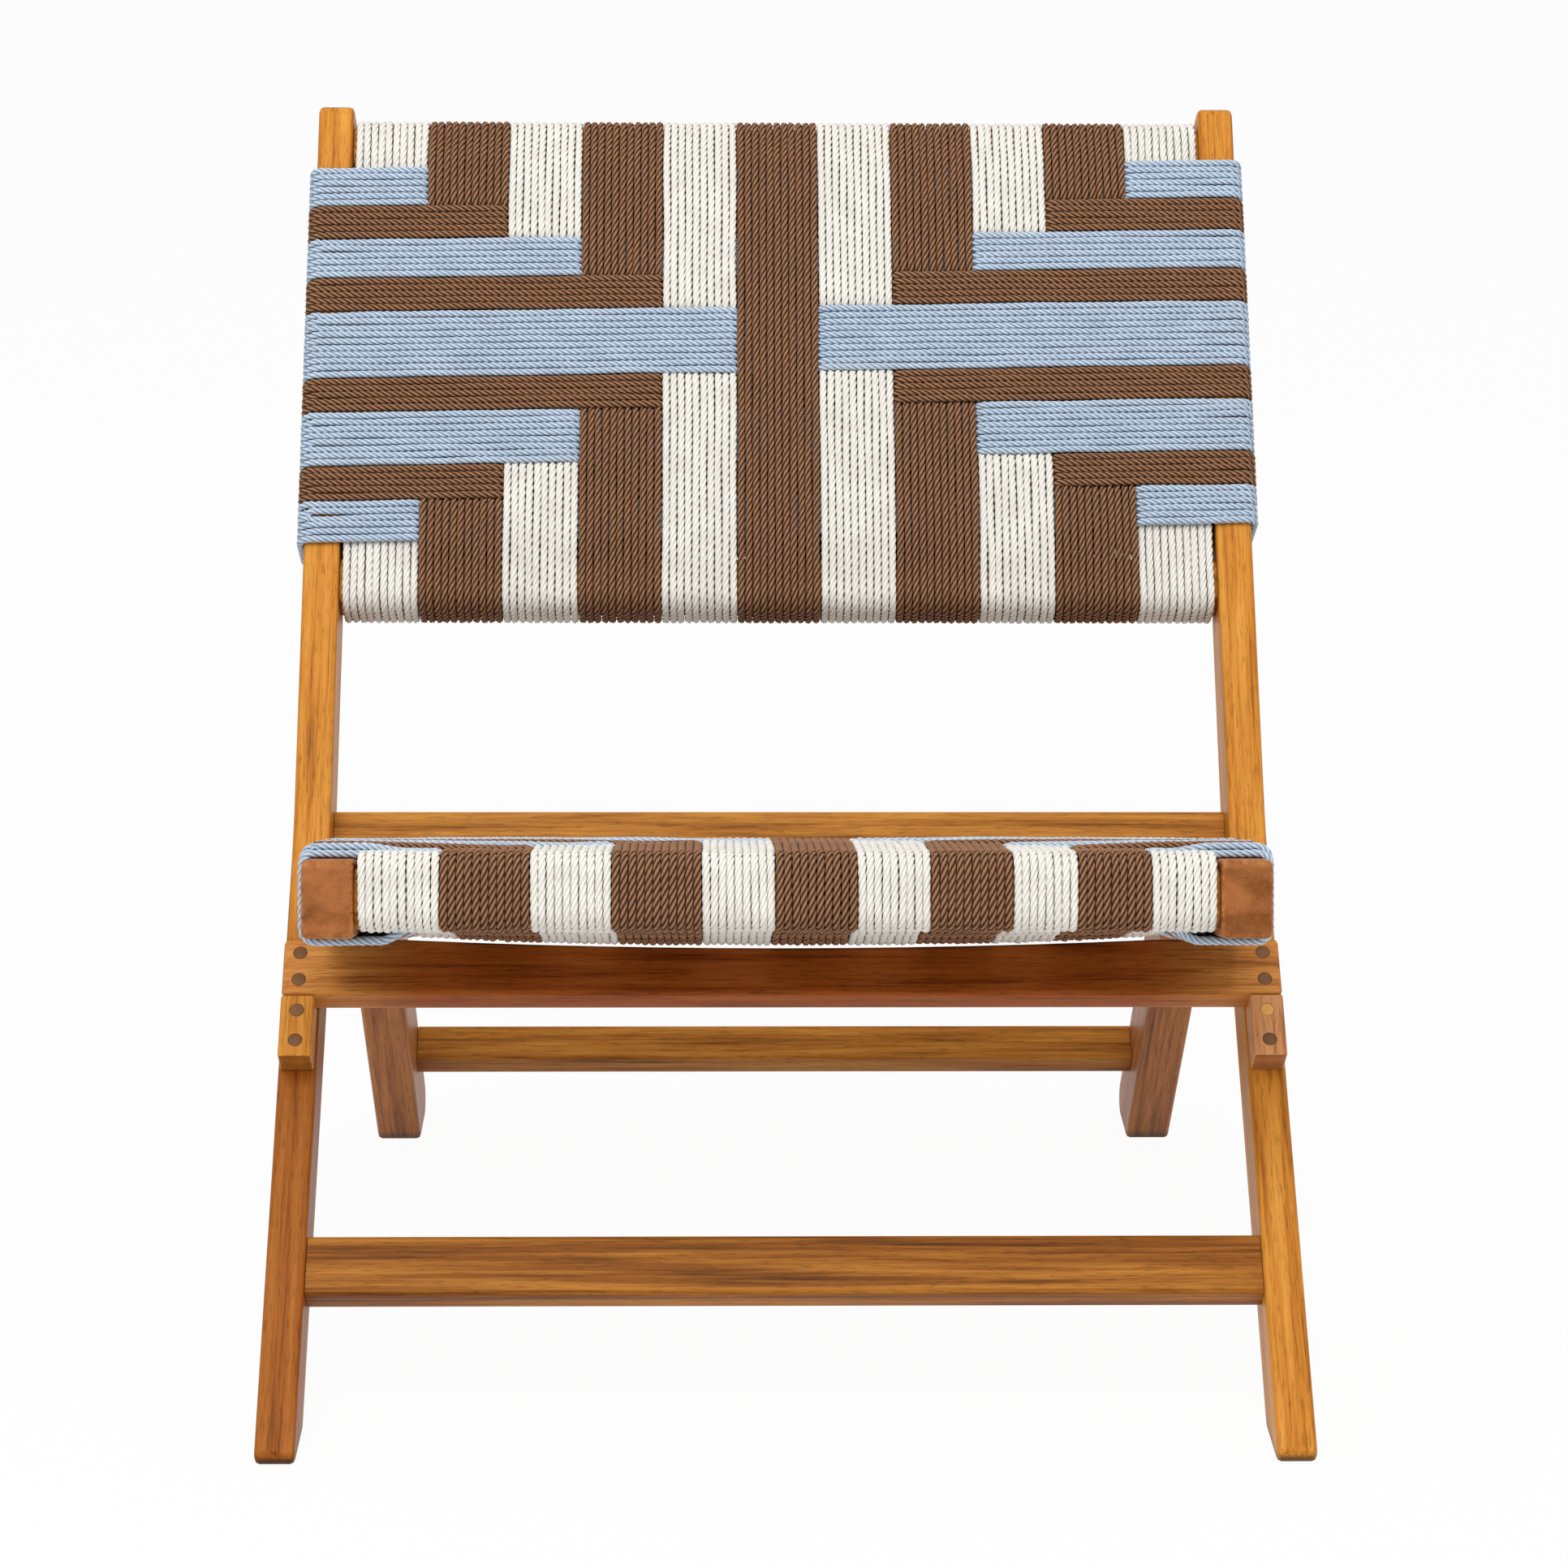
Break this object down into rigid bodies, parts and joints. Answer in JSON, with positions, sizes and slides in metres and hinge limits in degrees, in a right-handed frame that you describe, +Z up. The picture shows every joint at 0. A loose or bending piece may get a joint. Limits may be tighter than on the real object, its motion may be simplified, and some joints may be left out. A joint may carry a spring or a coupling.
{
  "type": "folding beach chair",
  "caption": "Low wooden folding beach chair: two crossing hardwood frames with a back and a seat woven from laid rope in stepped cream, brown and light blue stripes.",
  "frame": {"origin": "middle of the chair's box, on the floor", "axes": "+X to the right as seen from the front, +Y towards the back, +Z up; the chair faces -Y"},
  "size_m": [0.6402, 0.6536, 0.7245],
  "materials": {
    "oiled_wood": "oiled, satin, straight grain with darker streaks",
    "dark_peg": "dark end grain",
    "pale_peg": "pale end grain",
    "cream_rope": "matt laid rope",
    "brown_rope": "matt laid rope",
    "blue_rope": "matt laid rope",
    "steel": "zinc plated",
    "nylon": "natural"
  },
  "bodies": {
    "back_frame": {"left_stile": "oiled_wood", "right_stile": "oiled_wood", "back_top_rail": "oiled_wood", "back_bottom_rail": "oiled_wood", "mid_rail": "oiled_wood", "front_crossrail": "oiled_wood", "left_bearer_block": "oiled_wood", "right_bearer_block": "oiled_wood", "front_stretcher": "oiled_wood", "left_crossrail_lower_peg": "dark_peg", "left_crossrail_upper_peg": "dark_peg", "left_block_lower_peg": "dark_peg", "left_block_upper_peg": "dark_peg", "right_crossrail_lower_peg": "dark_peg", "right_crossrail_upper_peg": "dark_peg", "right_block_lower_peg": "dark_peg", "right_block_upper_peg": "pale_peg", "left_pivot_bolt": "steel", "left_pivot_nut": "steel", "left_pivot_spacer": "nylon", "right_pivot_bolt": "steel", "right_pivot_nut": "steel", "right_pivot_spacer": "nylon", "back_column_1": "cream_rope", "back_column_2": "brown_rope", "back_column_3": "cream_rope", "back_column_4": "brown_rope", "back_column_5": "cream_rope", "back_column_6": "brown_rope", "back_column_7": "cream_rope", "back_column_8": "brown_rope", "back_column_9": "cream_rope", "back_column_10": "brown_rope", "back_column_11": "cream_rope", "back_rows_blue": "blue_rope", "back_rows_brown": "brown_rope"},
    "seat_frame": {"left_seat_rail": "oiled_wood", "right_seat_rail": "oiled_wood", "seat_front_rail": "oiled_wood", "seat_rear_rail": "oiled_wood", "rear_leg_rail": "oiled_wood", "seat_column_1": "cream_rope", "seat_column_2": "brown_rope", "seat_column_3": "cream_rope", "seat_column_4": "brown_rope", "seat_column_5": "cream_rope", "seat_column_6": "brown_rope", "seat_column_7": "cream_rope", "seat_column_8": "brown_rope", "seat_column_9": "cream_rope", "seat_column_10": "brown_rope", "seat_column_11": "cream_rope", "seat_rows_blue": "blue_rope", "seat_rows_brown": "brown_rope"}
  },
  "joints": [
    {"name": "seat_fold", "type": "hinge", "parent": "back_frame", "child": "seat_frame", "pos_m": [0, -0.02432, 0.26459], "axis": [-1, 0, 0], "range_deg": [0, 85]}
  ]
}
